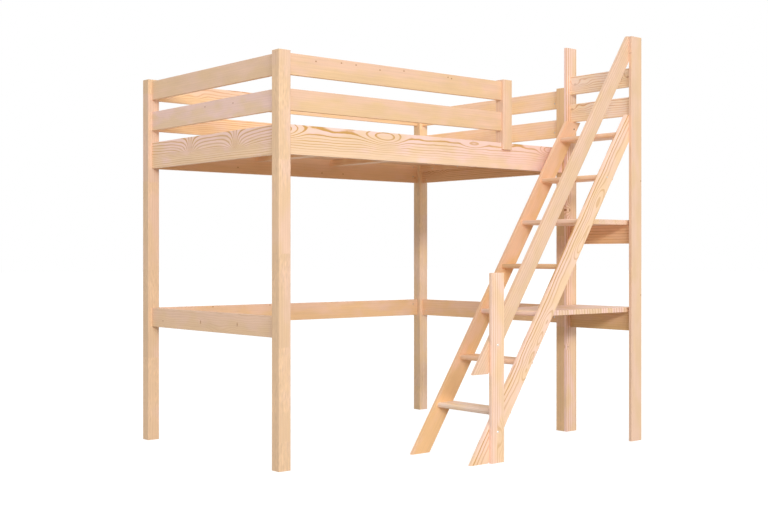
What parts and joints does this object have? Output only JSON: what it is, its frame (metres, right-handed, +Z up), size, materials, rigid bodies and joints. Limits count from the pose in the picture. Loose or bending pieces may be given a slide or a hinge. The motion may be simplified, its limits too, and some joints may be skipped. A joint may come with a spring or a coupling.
{
  "type": "loft bed",
  "caption": "High pine loft bed with square posts, guard rails and a boarded deck over open floor, reached by a steep side stair with a handrail and built-in shelves.",
  "frame": {"origin": "centre of the rectangle that the bed and its stair cover on the floor, at floor level", "axes": "+X along the bed's long front side towards the stair posts, +Y from the front to the back, +Z up"},
  "size_m": [2.039, 1.747, 2.15],
  "materials": {
    "pine": "planed, untreated",
    "beech": "fluted dowel, untreated",
    "steel": "zinc plated"
  },
  "bodies": {
    "root": {"barrel_nuts": "steel", "cleat_screws": "steel", "deck_beam_left": "pine", "deck_beam_right": "pine", "deck_board_1": "pine", "deck_board_2": "pine", "deck_board_3": "pine", "deck_board_4": "pine", "deck_board_5": "pine", "deck_board_6": "pine", "deck_board_7": "pine", "deck_board_8": "pine", "deck_board_9": "pine", "deck_rail_back": "pine", "deck_rail_front": "pine", "deck_rail_left": "pine", "deck_rail_right": "pine", "deck_screws": "steel", "dowels": "beech", "end_cleat_left": "pine", "end_cleat_right": "pine", "guard_post": "pine", "guard_post_screws": "steel", "guard_rail_back_middle": "pine", "guard_rail_back_top": "pine", "guard_rail_front_middle": "pine", "guard_rail_front_top": "pine", "guard_rail_left_middle": "pine", "guard_rail_left_top": "pine", "guard_rail_right_middle": "pine", "guard_rail_right_top": "pine", "handrail": "pine", "low_rail_back": "pine", "low_rail_left": "pine", "low_rail_right": "pine", "newel_bolts": "steel", "newel_nuts": "steel", "newel_post": "pine", "post_back_left": "pine", "post_back_right": "pine", "post_front_left": "pine", "post_front_right": "pine", "rail_bolts": "steel", "shelf_lower": "pine", "shelf_lower_rail": "pine", "shelf_upper": "pine", "shelf_upper_rail": "pine", "stair_guard_rail_middle": "pine", "stair_guard_rail_top": "pine", "stair_post_bolts": "steel", "stair_post_inner": "pine", "stair_post_outer": "pine", "stair_screws": "steel", "stringer_inner": "pine", "stringer_outer": "pine", "tread_1": "pine", "tread_2": "pine", "tread_4": "pine", "tread_6": "pine", "tread_7": "pine"}
  },
  "joints": []
}
